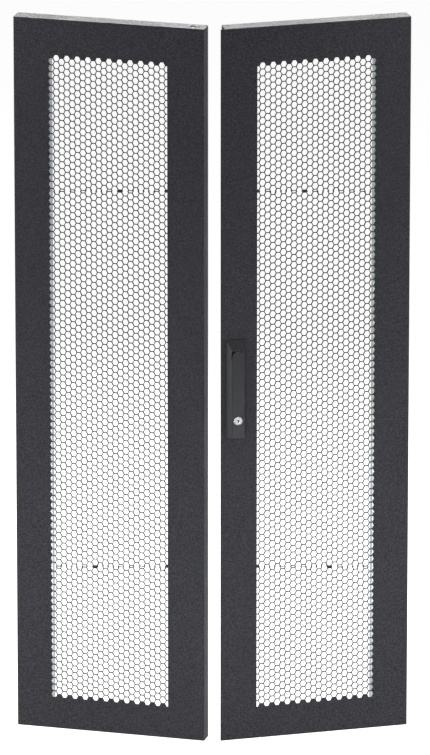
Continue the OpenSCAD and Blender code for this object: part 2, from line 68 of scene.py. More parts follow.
camera_data = bpy.data.cameras.new("long_lens")
camera_data.sensor_fit = "VERTICAL"
camera_data.sensor_height = SENSOR_MM
camera_data.lens = LENS_MM
camera_data.shift_x = SIDE_SHIFT
camera_data.clip_end = FARTHEST
camera = bpy.data.objects.new("camera", camera_data)
bpy.context.scene.collection.objects.link(camera)
camera.location = (0, -DISTANCE * math.cos(LOOK_DOWN), AIM_Z + DISTANCE * math.sin(LOOK_DOWN))
camera.rotation_euler = (math.pi / 2 - LOOK_DOWN, 0, 0)
bpy.context.scene.camera = camera
bpy.context.scene.view_settings.view_transform = "Standard"
print("camera", [round(v, 3) for v in camera.location])

# %% [markdown]
# ## From a leaf to the room
# Sheet-metal parts are drawn flat: s runs from the hinge edge to the free edge, d from the
# front face to the back and z up, all in millimetres. The hinge joints of the loaded model
# say where the hinge axis is and how far the leaves stand open, so one function turns a
# leaf's own numbers into a place in the room. The right leaf is the mirror of the left.
# %% Leaf coordinates
AXIS_IN = 8
AXIS_BACK = 8
LEFT, RIGHT = -1, 1
joints = {j["name"]: j for j in frame["joints"]}
hinge = joints["left_hinge"]
HINGE_X = abs(hinge["pos_m"][0]) * 1000
HINGE_Y = hinge["pos_m"][1] * 1000
AJAR = math.radians(-hinge["range_deg"][0])


def place(side, s, d, z):
    """The point s, d, z of the LEFT or RIGHT leaf, in metres."""
    along = (s - AXIS_IN) * math.cos(AJAR) + (d - AXIS_BACK) * math.sin(AJAR)
    back = -(s - AXIS_IN) * math.sin(AJAR) + (d - AXIS_BACK) * math.cos(AJAR)
    return Vector((side * (HINGE_X - along), HINGE_Y + back, z)) / 1000


print("leaves stand", round(math.degrees(AJAR), 1), "degrees open")

# %% [markdown]
# ## Solids from drawings
# A folded pan is a prism cut by other prisms, much as a workshop thinks of it. `prism`
# pulls an outline along one axis of the leaf, and `combine` joins, cuts or intersects two
# such solids with Blender's exact boolean. Modelling the folds by hand would also work,
# but the mitred corners come out right by themselves this way.
# %% Prisms
scratch = bpy.data.collections.new("scratch")
bpy.context.scene.collection.children.link(scratch)


def solid(name, bm):
    """Turns a bmesh into an object in the scratch collection."""
    bmesh.ops.recalc_face_normals(bm, faces=bm.faces)
    mesh = bpy.data.meshes.new(name)
    bm.to_mesh(mesh)
    bm.free()
    piece = bpy.data.objects.new(name, mesh)
    scratch.objects.link(piece)
    return piece


def prism(outline, axis, low, high):
    """A closed prism. Its outline is (s, d) along "z", (d, z) along "s" and (s, z) along "d"."""
    spots = {
        "z": lambda a, b, t: (a, b, t),
        "s": lambda a, b, t: (t, a, b),
        "d": lambda a, b, t: (a, t, b),
    }
    bm = bmesh.new()
    rings = [[bm.verts.new(spots[axis](a, b, t)) for a, b in outline] for t in (low, high)]
    bm.faces.new(rings[0])
    bm.faces.new(list(reversed(rings[1])))
    for k in range(len(outline)):
        m = (k + 1) % len(outline)
        bm.faces.new((rings[0][k], rings[0][m], rings[1][m], rings[1][k]))
    return solid("prism", bm)


# %% Booleans and outlines
def combine(base, other, operation):
    """Joins, cuts or intersects base with other, which is used up."""
    step = base.modifiers.new("combine", "BOOLEAN")
    step.operation = operation
    step.object = other
    step.solver = "EXACT"
    depsgraph = bpy.context.evaluated_depsgraph_get()
    result = bpy.data.meshes.new_from_object(base.evaluated_get(depsgraph))
    base.modifiers.clear()
    base.data = result
    bpy.data.objects.remove(other)
    return base


def arc(cx, cy, r, start, end, steps=8):
    """Points from start to end, in degrees, both included."""
    turn = [math.radians(start + (end - start) * k / steps) for k in range(steps + 1)]
    return [(cx + r * math.cos(t), cy + r * math.sin(t)) for t in turn]


def circle(cx, cy, r, steps=24):
    return arc(cx, cy, r, 0, 360 - 360 / steps, steps - 1)


def rectangle(left, right, bottom, top):
    return [(left, bottom), (right, bottom), (right, top), (left, top)]


# %% [markdown]
# ## The folded pan
# Each leaf is one blank of 1.5 mm steel, folded on all four sides. The two long sides turn
# in again behind, which stiffens them. The right leaf has a lip: the sheet is folded flat on
# itself before it turns back, so that the lip can lie over the gap between the leaves.
# The pan is the outer form less the space inside it. Its inner radius is the bend radius
# less the sheet, so the wall is equally thick all round, as folded steel is.
# %% Sizes of the sheet metal
LEAF_W = 298
LEAF_H = (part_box("left_skin")[1].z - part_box("left_skin")[0].z) * 1000
LEAF_D = 28
SHEET = 1.5
BEND = 2.5
RETURN_W = 14
LIP = 8
HINGE_INSET = 120
BARREL_H = 24
BARREL_GAP = 0.3
NOTCH_W = RETURN_W + 1
NOTCH_FRONT = 2
BOLT_IN = 20
BOLT_HOLE_R = 4.5
OVER = 1  # how far a small cutter stands out of the sheet
BEYOND = 5  # and a large one
print("leaf", LEAF_W, "by", round(LEAF_H, 1), "by", LEAF_D, "mm")


# %% Outer form and the space inside
def outer_form(w, lip):
    """The outline seen from above, pulled up, and rounded at the folds of both ends."""
    o, inner, d = BEND, BEND - SHEET, LEAF_D
    if lip:
        free_front = (arc(LEAF_W - SHEET, SHEET, SHEET, 270, 450)
                      + arc(w + inner, 2 * SHEET + inner, inner, 270, 180))
    else:
        free_front = arc(w - o, o, o, 270, 360)
    plan = (arc(o, o, o, 180, 270) + free_front
            + arc(w - o, d - o, o, 0, 90) + arc(o, d - o, o, 90, 180))
    ends = (arc(o, o, o, 180, 270) + [(d + BEYOND, 0), (d + BEYOND, LEAF_H)]
            + arc(o, LEAF_H - o, o, 90, 180))
    return combine(prism(plan, "z", 0, LEAF_H),
                   prism(ends, "s", -BEYOND, LEAF_W + BEYOND), "INTERSECT")


def space_inside(w):
    """The room between the folds, open at the back between the two returns."""
    o, inner, t, d, r = BEND, BEND - SHEET, SHEET, LEAF_D, RETURN_W
    plan = (arc(o, o, inner, 180, 270) + arc(w - o, o, inner, 270, 360)
            + arc(w - o, d - o, inner, 0, 90)
            + [(w - r, d - t), (w - r, d + BEYOND), (r, d + BEYOND), (r, d - t)]
            + arc(o, d - o, inner, 90, 180))
    ends = (arc(o, o, inner, 180, 270) + [(d + 2 * BEYOND, t), (d + 2 * BEYOND, LEAF_H - t)]
            + arc(o, LEAF_H - o, inner, 90, 180))
    return combine(prism(plan, "z", -BEYOND, LEAF_H + BEYOND),
                   prism(ends, "s", -BEYOND, LEAF_W + BEYOND), "INTERSECT")


# %% Pans
def pan(lip):
    """A leaf without its pattern.

    Two notches leave room for the hinge barrels. The leaf without a lip is held by slide
    bolts, which pass through a hole in each end.
    """
    w = LEAF_W - lip
    body = combine(outer_form(w, lip), space_inside(w), "DIFFERENCE")
    for z in (HINGE_INSET, LEAF_H - HINGE_INSET):
        half = BARREL_H / 2 + BARREL_GAP
        notch = rectangle(-OVER, NOTCH_W, z - half, z + half)
        body = combine(body, prism(notch, "d", NOTCH_FRONT, LEAF_D + 2 * OVER), "DIFFERENCE")
    bolt_ends = () if lip else (0, LEAF_H - SHEET)
    for z in bolt_ends:
        bolt_hole = circle(LEAF_W - BOLT_IN, LEAF_D / 2, BOLT_HOLE_R)
        body = combine(body, prism(bolt_hole, "z", z - OVER, z + SHEET + OVER), "DIFFERENCE")
    return body


pans = {LEFT: pan(0), RIGHT: pan(LIP)}
print("pan faces", [len(p.data.polygons) for p in pans.values()])

# %% [markdown]
# ## The pattern of holes
# The field is punched with long hexagons in columns 8.3 mm apart, so close that only
# 1.35 mm of steel is left between them. A press punches such a sheet in strips. Here each
# strip starts a third of a row late and the joint runs a little askew to the rows, so along
# the joint some holes run into the next ones and a few bridges are wider. The last
# column is cut off in a straight line. A see-through texture could show all this too, but
# it would have no thickness, and it is the walls of the holes that catch the light. So
# each hole is a loop of corners.
# %% Sizes of the pattern
FIELD_RIGHT = 241.0
COLUMN_STEP = 8.262
COLUMNS = 23
ROW_STEP = 10.775
WEB = 1.35
FIRST_ROW = 55.3
LAST_ROW = 1072.0
LATE = 0.33 * ROW_STEP
JOINTS = ((257.0, 0.085), (856.7, 0.073))
NECK_Z = 0.7  # a hole is narrowed this close to a joint
LEAST_PART = 1  # a hole of which a joint leaves less than this is dropped
THIN = 1  # two holes nearer than this run into one
SLIVER = 2  # a hole lower than this isn't punched
LEAST_STEP = 0.1  # the least height between two corners
TOUCH = 0.01  # nearer than this counts as touching

slant = Vector((ROW_STEP / 2, COLUMN_STEP / 3)).normalized()
reach = COLUMN_STEP * 2 / 3 * slant.x - WEB / 2
HOLE_Z = ROW_STEP / 2 - WEB / 2
HOLE_TIP = reach / slant.x
HOLE_FLAT = (reach - slant.y * HOLE_Z) / slant.x
NECK = (COLUMN_STEP - WEB) / 2
print("a hole is", round(2 * HOLE_TIP, 2), "by", round(2 * HOLE_Z, 2), "mm")


# %% Half of a hole
def half_outline(z, low, high):
    """Right half of a hexagon centred at z, as (reach, height).

    It stops at the joints at low and high, and keeps clear of the next columns there.
    """
    bottom, top = max(low, z - HOLE_Z), min(high, z + HOLE_Z)
    heights = {bottom, top}
    heights |= {h for h in (z, low + NECK_Z, high - NECK_Z)
                if bottom + LEAST_STEP < h < top - LEAST_STEP}
    line = []
    for h in sorted(heights):
        width = HOLE_TIP - (HOLE_TIP - HOLE_FLAT) * abs(h - z) / HOLE_Z
        near = min(h - low, high - h) < NECK_Z + TOUCH
        if h == z and near:
            continue
        line.append((min(width, NECK) if near else width, h))
    return line


# %% Columns of holes
def column(s, odd):
    """The right halves of all holes of one column, from the bottom up.

    Two that meet on a joint become one, and slivers are left out.
    """
    cuts = [0] + [z + rise * s for z, rise in JOINTS] + [LEAF_H]
    halves = []
    for strip, (low, high) in enumerate(zip(cuts, cuts[1:])):
        z = FIRST_ROW + strip * LATE + (ROW_STEP / 2 if odd else 0)
        while z < LAST_ROW:
            if min(high, z + HOLE_Z) - max(low, z - HOLE_Z) > LEAST_PART:
                half = half_outline(z, low, high)
                gap = half[0][1] - halves[-1][-1][1] if halves else LEAF_H
                if gap < TOUCH:
                    halves[-1][-1] = (min(halves[-1][-1][0], half[0][0]), low)
                    halves[-1] += half[1:]
                elif gap < THIN:
                    halves[-1] += half
                else:
                    halves.append(half)
            z += ROW_STEP
    return [half for half in halves if half[-1][1] - half[0][1] > SLIVER]


def hole(s, half, cut):
    """The whole loop from its right half. cut leaves only the half on the hinge side."""
    left = [(-w, h) for w, h in reversed(half)]
    right = [(0, half[0][1]), (0, half[-1][1])] if cut else half
    return [(s + w, h) for w, h in right + left]


field = []
for c in range(COLUMNS):
    s = FIELD_RIGHT - c * COLUMN_STEP
    field += [hole(s, half, c == 0) for half in column(s, c % 2 == 1)]
print("holes in a leaf", len(field))

# %% [markdown]
# ## Punching the sheet
# A boolean with two thousand hexagons would take minutes. The two flat faces of the front
# sheet are taken out instead, and filled again by a constrained triangulation that leaves
# the holes open. Short walls between the two faces close each hole. The corners of the
# old flat faces are used again, so the leaf is one closed solid, as the real one is.
# %% Fill a face round its holes
def inside(point, loop):
    hits = False
    for (x0, z0), (x1, z1) in zip(loop, loop[1:] + loop[:1]):
        crosses = (z0 > point[1]) != (z1 > point[1])
        if crosses and point[0] < (x1 - x0) * (point[1] - z0) / (z1 - z0) + x0:
            hits = not hits
    return hits


def fill(bm, border, loops, y):
    """Triangulates the flat face inside border, less the loops. Returns each loop's corners."""
    spots = [Vector((v.co.x, v.co.z)) for v in border]
    edges = [(k, (k + 1) % len(border)) for k in range(len(border))]
    corners = list(border)
    owner = [-1] * len(border)
    walls = []
    for n, loop in enumerate(loops):
        first = len(spots)
        ring = [bm.verts.new((a, y, z)) for a, z in loop]
        walls.append(ring)
        corners += ring
        spots += [Vector(p) for p in loop]
        owner += [n] * len(loop)
        edges += [(first + k, first + (k + 1) % len(loop)) for k in range(len(loop))]
    found = geometry.delaunay_2d_cdt(spots, edges, [], 0, 1e-7)
    source = [old[0] for old in found[3]]
    for triangle in found[2]:
        three = [source[k] for k in triangle]
        own = {owner[k] for k in three}
        if len(own) == 1 and -1 not in own:
            middle = sum((spots[k] for k in three), Vector((0, 0))) / 3
            if inside(middle, loops[own.pop()]):
                continue
        bm.faces.new([corners[k] for k in three])
    return walls


# %% Punch
def punch(pan_object, loops):
    """The pan's mesh with its front sheet pierced by the loops, in leaf millimetres."""
    bm = bmesh.new()
    bm.from_mesh(pan_object.data)
    bmesh.ops.dissolve_limit(bm, angle_limit=math.radians(0.5), verts=bm.verts, edges=bm.edges)
    flats = []
    for y, way in ((0, -1), (SHEET, 1)):
        faces = [f for f in bm.faces
                 if abs(f.calc_center_median().y - y) < 0.01 and f.normal.y * way > 0.99]
        sheet = max(faces, key=lambda f: f.calc_area())
        flats.append((y, sheet, [loop.vert for loop in sheet.loops]))
    bmesh.ops.delete(bm, geom=[f for _, f, _ in flats], context="FACES_ONLY")
    rings = [fill(bm, border, loops, y) for y, _, border in flats]
    for front, back in zip(*rings):
        for k in range(len(front)):
            m = (k + 1) % len(front)
            bm.faces.new((front[k], front[m], back[m], back[k]))
    bmesh.ops.recalc_face_normals(bm, faces=bm.faces)
    return bm


# %% [markdown]
# ## Hanging a piece on its leaf
# A mesh drawn in leaf millimetres is moved corner by corner to its place in the room. It
# then rides on the body that carries it, and stands for the nodes it shows better.
# %% Hang
def shade(bm):
    """Smooth faces with crisp edges.

    Where a flat meets a bend the surface turns by half a facet. That line is kept crisp
    too, so that flats stay flat.
    """
    for e in bm.edges:
        turn = math.degrees(e.calc_face_angle(math.pi))
        e.smooth = turn < 30 and not 4 < turn < 7
    for f in bm.faces:
        f.smooth = True


def hang(name, side, bm, body, node_names):
    """Moves a mesh from leaf millimetres to its place, and lets it ride and stand for its nodes."""
    for v in bm.verts:
        v.co = place(side, *v.co)
    if side == RIGHT:
        bmesh.ops.reverse_faces(bm, faces=bm.faces)
    shade(bm)
    mesh = bpy.data.meshes.new(name)
    bm.to_mesh(mesh)
    bm.free()
    piece = bpy.data.objects.new(name, mesh)
    bpy.context.scene.collection.objects.link(piece)
    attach(piece, body)
    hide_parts(*node_names)
    return piece


# %% [markdown]
# ## The two leaves
# Behind the handle the right leaf is bored for the spindle and for three screws: two hold
# the gearbox, 20 mm above and below the spindle, and one holds the foot of the plinth.
# Mirroring the finished leaf would copy its lip and these bores to the left one, so each
# leaf is punched for itself, with its own list of loops.
# %% Leaves
HANDLE_S = 274.35
SPINDLE_Z = 618.5
SPINDLE_HOLE_R = 6
LOWER_SCREW_Z, UPPER_SCREW_Z = SPINDLE_Z - 20, SPINDLE_Z + 20
BASE_SCREW_Z = 497.5
SCREW_R = 2

through = [circle(HANDLE_S, SPINDLE_Z, SPINDLE_HOLE_R)]
through += [circle(HANDLE_S, z, SCREW_R) for z in (LOWER_SCREW_Z, UPPER_SCREW_Z, BASE_SCREW_Z)]
skins = {}
for side, name, loops in ((LEFT, "left", field), (RIGHT, "right", field + through)):
    bm = punch(pans[side], loops)
    skins[side] = hang(name + "_perforated_pan", side, bm, name + "_leaf",
                       [name + "_skin"])
    triangles = sum(len(p.vertices) - 2 for p in skins[side].data.polygons)
    print(skins[side].name, "triangles", triangles)

# %% [markdown]
# ## Softened edges
# Cast, moulded and stamped parts never have perfectly sharp edges, and it is the thin line
# of light along an edge that makes a part look real. Each loaded node is copied, its
# triangles are merged back into clean faces, and its edges get a small round. The copy
# rides where the node did and stands for it. A bevel in the shading alone would be less
# work, but it would be lost in an export. The plinth's upper screw hole would break out of
# its bevel, so the copy has a blind hole there, as a casting has.
# %% A blind hole
NEAR_HOLE_R = 2.3
BLIND_DEPTH = 1.4
BEFORE_LEAF = -30


def blind_hole(bm, side, s, z):
    """Closes a through hole at the front and leaves a blind one at the back."""
    middle, far = place(side, s, 0, z), place(side, s, BEFORE_LEAF, z)
    line = (far - middle).normalized()
    near = [v for v in bm.verts
            if (v.co - middle - line * (v.co - middle).dot(line)).length < NEAR_HOLE_R / 1000]
    wall = [f for f in bm.faces if all(v in near for v in f.verts)]
    bmesh.ops.delete(bm, geom=wall, context="FACES_ONLY")
    open_edges = [e for e in bm.edges if e.is_boundary]
    caps = bmesh.ops.holes_fill(bm, edges=open_edges, sides=0)["faces"]
    back = min(caps, key=lambda f: (f.calc_center_median() - middle).length)
    grown = bmesh.ops.extrude_face_region(bm, geom=[back])["geom"]
    bottom = [v for v in grown if isinstance(v, bmesh.types.BMVert)]
    bmesh.ops.translate(bm, vec=line * BLIND_DEPTH / 1000, verts=bottom)


# %% Soften
MERGE_M = 2e-6
FLAT = math.radians(1)
SHARP = math.radians(35)
CRISP = math.radians(40)
body_of = {n: b for b, ns in frame["record"]["behaviour"]["bodies"].items() for n in ns}
slot_of = {p["node"]: p["material_slot"] for p in frame["record"]["subparts"]}
remade = {}


def soften(node, width_mm):
    """Copies a loaded node and rounds its sharp edges by that width."""
    bm = bmesh.new()
    bm.from_mesh(frame["nodes"][node].data)
    bmesh.ops.remove_doubles(bm, verts=bm.verts, dist=MERGE_M)
    if node == "handle_base":
        blind_hole(bm, RIGHT, HANDLE_S, UPPER_SCREW_Z)
    bmesh.ops.dissolve_limit(bm, angle_limit=FLAT, verts=bm.verts, edges=bm.edges)
    sharp = [e for e in bm.edges if len(e.link_faces) == 2 and e.calc_face_angle() > SHARP]
    bmesh.ops.bevel(bm, geom=sharp, offset=width_mm / 1000, offset_type="OFFSET", segments=2,
                    profile=0.5, affect="EDGES", clamp_overlap=True)
    for e in bm.edges:
        e.smooth = e.calc_face_angle(math.pi) < CRISP
    for f in bm.faces:
        f.smooth = True
    mesh = bpy.data.meshes.new(node + "_finished")
    bm.to_mesh(mesh)
    bm.free()
    piece = bpy.data.objects.new(node + "_finished", mesh)
    bpy.context.scene.collection.objects.link(piece)
    even = piece.modifiers.new("even_shading", "WEIGHTED_NORMAL")
    even.keep_sharp = True
    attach(piece, body_of[node])
    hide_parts(node)
    remade[node] = piece


# %% Edge widths
EDGES_MM = {
    "handle_base": 0.9, "lever": 0.9, "gearbox_case": 0.8, "gearbox_cover": 0.4,
    "rod_guides": 0.3, "left_bolt_guides": 0.8, "upper_rod": 0.25, "lower_rod": 0.25,
    "left_lower_hinge_plate": 0.5, "left_upper_hinge_plate": 0.5,
    "right_lower_hinge_plate": 0.5, "right_upper_hinge_plate": 0.5,
    "left_hinge_brackets": 0.25, "right_hinge_brackets": 0.25,
    "left_hinge_pins": 0.4, "right_hinge_pins": 0.4,
    "left_hinge_stiffener": 0.3, "right_hinge_stiffener": 0.3,
    "left_free_stiffener": 0.3, "right_free_stiffener": 0.3,
    "left_buffers": 0.5, "right_buffers": 0.5, "left_top_bolt": 0.6, "left_bottom_bolt": 0.6,
    "left_earth_nut": 0.3, "right_earth_nut": 0.3, "lever_pin": 0.15, "spindle_clip": 0.1,
}
for node, width in EDGES_MM.items():
    soften(node, width)
print("softened", len(remade), "nodes")

# %% [markdown]
# ## Turned parts
# Screws and the lock's ring are turned on a lathe, so they are drawn as one: a profile of
# radius and depth spun round the line at s, z. A 6 after a point makes that ring a hexagon,
# which gives the sockets in the screw heads. A screw could also be a cylinder with a
# screw modifier, but rings one pitch apart look the same on a thread so small.
# %% Lathe
def turned(bm, s, z, profile, steps=24):
    """Spins a profile of (radius, depth) points round the line at s, z."""
    sixth = math.pi / 3
    rings = []
    for r, d, *six in profile:
        ring = []
        for k in range(steps if r else 1):
            turn = 2 * math.pi * k / steps
            far = r * math.cos(sixth / 2) / math.cos(turn % sixth - sixth / 2) if six else r
            ring.append(bm.verts.new((s + far * math.cos(turn), d, z + far * math.sin(turn))))
        rings.append(ring)
    for low, high in zip(rings, rings[1:]):
        for k in range(steps):
            m = (k + 1) % steps
            corners = [low[k % len(low)], low[m % len(low)],
                       high[m % len(high)], high[k % len(high)]]
            bm.faces.new(dict.fromkeys(corners))


def right_piece(name, node, bm):
    """Hangs a mesh on the right leaf's side in place of one node."""
    bmesh.ops.recalc_face_normals(bm, faces=bm.faces)
    remade[node] = hang(name, RIGHT, bm, body_of[node], [node])


def turned_piece(node, solids):
    bm = bmesh.new()
    for s, z, profile in solids:
        turned(bm, s, z, profile)
    right_piece(node + "_turned", node, bm)


# %% [markdown]
# ## Screws
# They are M4 socket screws with a pitch of 0.7 mm. Their tips are in the plinth, 4 mm in
# front of the leaf's face, and only the upper gearbox screw ends at 1.2 mm, since the
# plinth is thin there.
# %% Screws
PITCH = 0.7
THREAD_DEPTH = 0.3
PLAIN_SHANK = 0.8
TIP_BEVEL = 0.5
HEAD_R = 3.5
HEAD_H = 2.5
HEAD_BEVEL_R = 0.6
HEAD_BEVEL_D = 0.8
SOCKET_R = 1.5
SOCKET_D = 1.3
CASE_BACK = 11.8
DEEP_TIP, SHORT_TIP = -4, -1.2


def screw(tip, under_head):
    """Profile of a socket screw, from its tip to the bottom of its socket."""
    line = [(0, tip), (SCREW_R - TIP_BEVEL, tip)]
    d = tip + TIP_BEVEL
    while d < under_head - PLAIN_SHANK:
        line += [(SCREW_R - THREAD_DEPTH, d), (SCREW_R, d + PITCH / 2)]
        d += PITCH
    top = under_head + HEAD_H
    return line + [(SCREW_R, under_head), (HEAD_R, under_head), (HEAD_R, top - HEAD_BEVEL_D),
                   (HEAD_R - HEAD_BEVEL_R, top), (SOCKET_R, top, 6),
                   (SOCKET_R, top - SOCKET_D, 6), (0, top - SOCKET_D)]


turned_piece("gearbox_screws", [(HANDLE_S, LOWER_SCREW_Z, screw(DEEP_TIP, CASE_BACK)),
                                (HANDLE_S, UPPER_SCREW_Z, screw(SHORT_TIP, CASE_BACK))])
turned_piece("base_screw", [(HANDLE_S, BASE_SCREW_Z, screw(DEEP_TIP, SHEET))])
print("screws in", body_of["gearbox_screws"], "and", body_of["base_screw"])

# %% [markdown]
# ## The lock
# The lock sits in the lever: a turned ring with a rounded rim, and a plug that the key
# turns. The keyway is a round bore with a slit below it. It could be a dark patch, but it
# is milled into the plug by two booleans, so that its dark is a real shadow.
# %% Lock
LOCK_Z = 517.5
RING = [(0, -6.8), (7.2, -6.8), (7.2, -13.6), (6.9, -14.3), (6.3, -14.75),
        (5.9, -14.75), (5.5, -14.3), (5.5, -8.05), (0, -8.05)]
PLUG_R = 5.4
PLUG_FRONT, PLUG_BACK = -14.2, -8.15
KEY_BORE_R = 1.5
KEY_BORE_UP = 0.8
SLIT_HALF = 0.7
SLIT_DOWN, SLIT_UP = 3.2, 1
KEYWAY_FRONT, KEYWAY_BED = -15, -9

turned_piece("lock_housing", [(HANDLE_S, LOCK_Z, RING)])
plug = prism(circle(HANDLE_S, LOCK_Z, PLUG_R, 36), "d", PLUG_FRONT, PLUG_BACK)
bore = circle(HANDLE_S, LOCK_Z + KEY_BORE_UP, KEY_BORE_R, 16)
slit = rectangle(HANDLE_S - SLIT_HALF, HANDLE_S + SLIT_HALF,
                 LOCK_Z - SLIT_DOWN, LOCK_Z + SLIT_UP)
for outline in (bore, slit):
    plug = combine(plug, prism(outline, "d", KEYWAY_FRONT, KEYWAY_BED), "DIFFERENCE")
plug_bm = bmesh.new()
plug_bm.from_mesh(plug.data)
right_piece("lock_plug_milled", "lock_plug", plug_bm)
print("lock on", body_of["lock_housing"], "plug on", body_of["lock_plug"])

# %% [markdown]
# ## Nodes for finishes
# Every finish is built from a few shader nodes. `add` places one node, sets or links its
# sockets and the colours of a ramp, and returns it. Colours are written as the hex values a
# designer would use, and one function turns them into the linear values that Blender
# computes with.
# %% Material helpers
def linear(code):
    parts = [int(code[k:k + 2], 16) / 255 for k in (1, 3, 5)]
    return (*[c / 12.92 if c <= 0.04045 else ((c + 0.055) / 1.055) ** 2.4 for c in parts], 1)


def add(tree, kind, sockets=None, stops=(), **settings):
    """Adds a node. sockets are values or links, stops are the (place, colour) pairs of a ramp."""
    node = tree.nodes.new("ShaderNode" + kind)
    for key, value in settings.items():
        setattr(node, key, value)
    for key, value in (sockets or {}).items():
        if isinstance(value, bpy.types.NodeSocket):
            tree.links.new(value, node.inputs[key])
        else:
            node.inputs[key].default_value = value
    for k, (spot, colour) in enumerate(stops):
        node.color_ramp.elements[k].position = spot
        node.color_ramp.elements[k].color = linear(colour)
    return node


def finish(name):
    """A new material without nodes. Returns the material and its node tree."""
    material = bpy.data.materials.new(name)
    material.use_nodes = True
    material.node_tree.nodes.clear()
    return material, material.node_tree


def per_metre(millimetres):
    """Texture scale that gives features of that size."""
    return 1000 / millimetres


# %% [markdown]
# ## Coats, nylon and rubber
# All dark surfaces of the door have a grain and a soft sheen, so one function makes them.
# The fine grain mottles the colour, which on the powder coat is painted glints, and
# lifts the surface, and a slow cloud changes the roughness a little from place to place,
# as on any sprayed or moulded part.
# %% Grained surfaces
CLOUD_MM = 60
ROUGHNESS_SPREAD = 0.04


def grained(name, dark, light, roughness, grain_mm, depth_mm, shine=0.12):
    material, tree = finish(name)
    spot = add(tree, "TexCoord").outputs["Object"]
    grain = add(tree, "TexNoise", {"Vector": spot, "Scale": per_metre(grain_mm),
                                   "Detail": 3, "Roughness": 0.6}).outputs["Fac"]
    cloud = add(tree, "TexNoise", {"Vector": spot, "Scale": per_metre(CLOUD_MM), "Detail": 2})
    # On the powder coat this mottle of the colour is painted glints of the grain.
    colour = add(tree, "ValToRGB", {"Fac": grain}, stops=[(0.4, dark), (0.64, light)])
    rough = add(tree, "MapRange", {"Value": cloud.outputs["Fac"], "From Min": 0.3, "From Max": 0.7,
                                   "To Min": roughness - ROUGHNESS_SPREAD,
                                   "To Max": roughness + ROUGHNESS_SPREAD})
    bump = add(tree, "Bump", {"Height": grain, "Distance": depth_mm / 1000, "Strength": 1})
    coat = add(tree, "BsdfPrincipled", {"Base Color": colour.outputs["Color"],
                                        "Roughness": rough.outputs[0],
                                        "Specular IOR Level": shine, "Normal": bump.outputs[0]})
    add(tree, "OutputMaterial", {"Surface": coat.outputs[0]})
    return material


# %% [markdown]
# ## Textured black powder coat
# The leaves are coated with polyester powder, baked to a fine grainy skin. The grain is
# about 0.3 mm on the real door and is drawn at 2.4 mm, and deeper, so that it still shows
# from afar. It breaks the highlight into a soft sheen. Its colour is mottled between two
# blacks as well, which is painted glints of the grain. Noise in space suits it better than
# a flat texture, as it has no seams at the folds.
# %% Powder coat
# Its two blacks are mottled as painted glints of the grain; the bumps are real.
powder_coat = grained("textured_black_powder_coat", "#1a1a1e", "#303035", 0.5, 2.4, 1.2)
print(powder_coat.name)

# %% [markdown]
# ## Satin black on die-cast zinc
# The plinth and the lever are die castings with a satin wet coat. It is smoother than the
# powder on the leaves, so the bevels of the plinth catch more light. Its orange peel, drawn
# 0.9 mm wide, is low and just keeps the highlight from being perfect.
# %% Die-cast coat
die_cast_coat = grained("satin_black_coat_on_die_casting", "#1c1d20", "#242529",
                        0.36, 0.9, 0.03, shine=0.17)
print(die_cast_coat.name)

# %% [markdown]
# ## Nylon and rubber
# Guides are moulded in black nylon, which takes a fine grain from the spark-eroded mould.
# The buffers are rubber: nearly black, with hardly any highlight. Both grains are finer
# than 0.1 mm on real parts and are drawn about 1 mm wide, so that they show.
# %% Plastics
moulded_nylon = grained("black_moulded_nylon", "#1d1e1f", "#29292b", 0.55, 0.8, 0.04)
soft_rubber = grained("black_rubber", "#131313", "#1b1b1b", 0.85, 1.2, 0.05)
print(moulded_nylon.name, soft_rubber.name)

# %% [markdown]
# ## Galvanised sheet
# Hot-dip galvanised steel grows zinc crystals, the spangle, each catching the light its own
# way. The channels beside the hinges are bent from such sheet. Voronoi cells of 7 mm give
# the crystals, each with its own tint and roughness. It is metal, so its colour is in the
# reflection.
# %% Galvanised sheet
SPANGLE_MM = 7


def galvanised_sheet():
    material, tree = finish("galvanised_sheet")
    spot = add(tree, "TexCoord").outputs["Object"]
    crystals = add(tree, "TexVoronoi", {"Vector": spot,
                                        "Scale": per_metre(SPANGLE_MM)}).outputs["Color"]
    tint = add(tree, "SeparateColor", {"Color": crystals}).outputs["Red"]
    colour = add(tree, "ValToRGB", {"Fac": tint}, stops=[(0, "#7b8083"), (1, "#a6aaac")])
    rough = add(tree, "MapRange", {"Value": tint, "To Min": 0.34, "To Max": 0.52})
    zinc = add(tree, "BsdfPrincipled", {"Base Color": colour.outputs["Color"], "Metallic": 1,
                                        "Roughness": rough.outputs[0]})
    add(tree, "OutputMaterial", {"Surface": zinc.outputs[0]})
    return material


galvanised = galvanised_sheet()
print(galvanised.name)

# %% [markdown]
# ## Plated, cast and cut metal
# Electroplated zinc on the hinges and rods is even and slightly milky. Bright zinc on
# screws, pins and slide bolts is closer to a mirror. The gearbox is a bare die casting,
# dull and mottled. The lock is satin chrome with fine waves, drawn 1.6 mm wide so that
# they show; its strong mottle from dark to light grey is painted highlights of a turned
# face. The pinion is cut brass, warm and smooth. The mottle of the others is drawn
# 1 to 2.5 mm wide, also coarser than it is. One function makes all five, since they differ
# only in colour, gloss and mottle.
# %% Metals
METAL_SPREAD = 0.05


def metal(name, dark, light, roughness, mottle_mm, depth_mm=0.01):
    material, tree = finish(name)
    spot = add(tree, "TexCoord").outputs["Object"]
    mottle = add(tree, "TexNoise", {"Vector": spot, "Scale": per_metre(mottle_mm),
                                    "Detail": 4}).outputs["Fac"]
    colour = add(tree, "ValToRGB", {"Fac": mottle}, stops=[(0.3, dark), (0.7, light)])
    rough = add(tree, "MapRange", {"Value": mottle, "From Min": 0.3, "From Max": 0.7,
                                   "To Min": roughness - METAL_SPREAD,
                                   "To Max": roughness + METAL_SPREAD})
    bump = add(tree, "Bump", {"Height": mottle, "Distance": depth_mm / 1000, "Strength": 0.5})
    surface = add(tree, "BsdfPrincipled", {"Base Color": colour.outputs["Color"], "Metallic": 1,
                                           "Roughness": rough.outputs[0],
                                           "Normal": bump.outputs[0]})
    add(tree, "OutputMaterial", {"Surface": surface.outputs[0]})
    return material


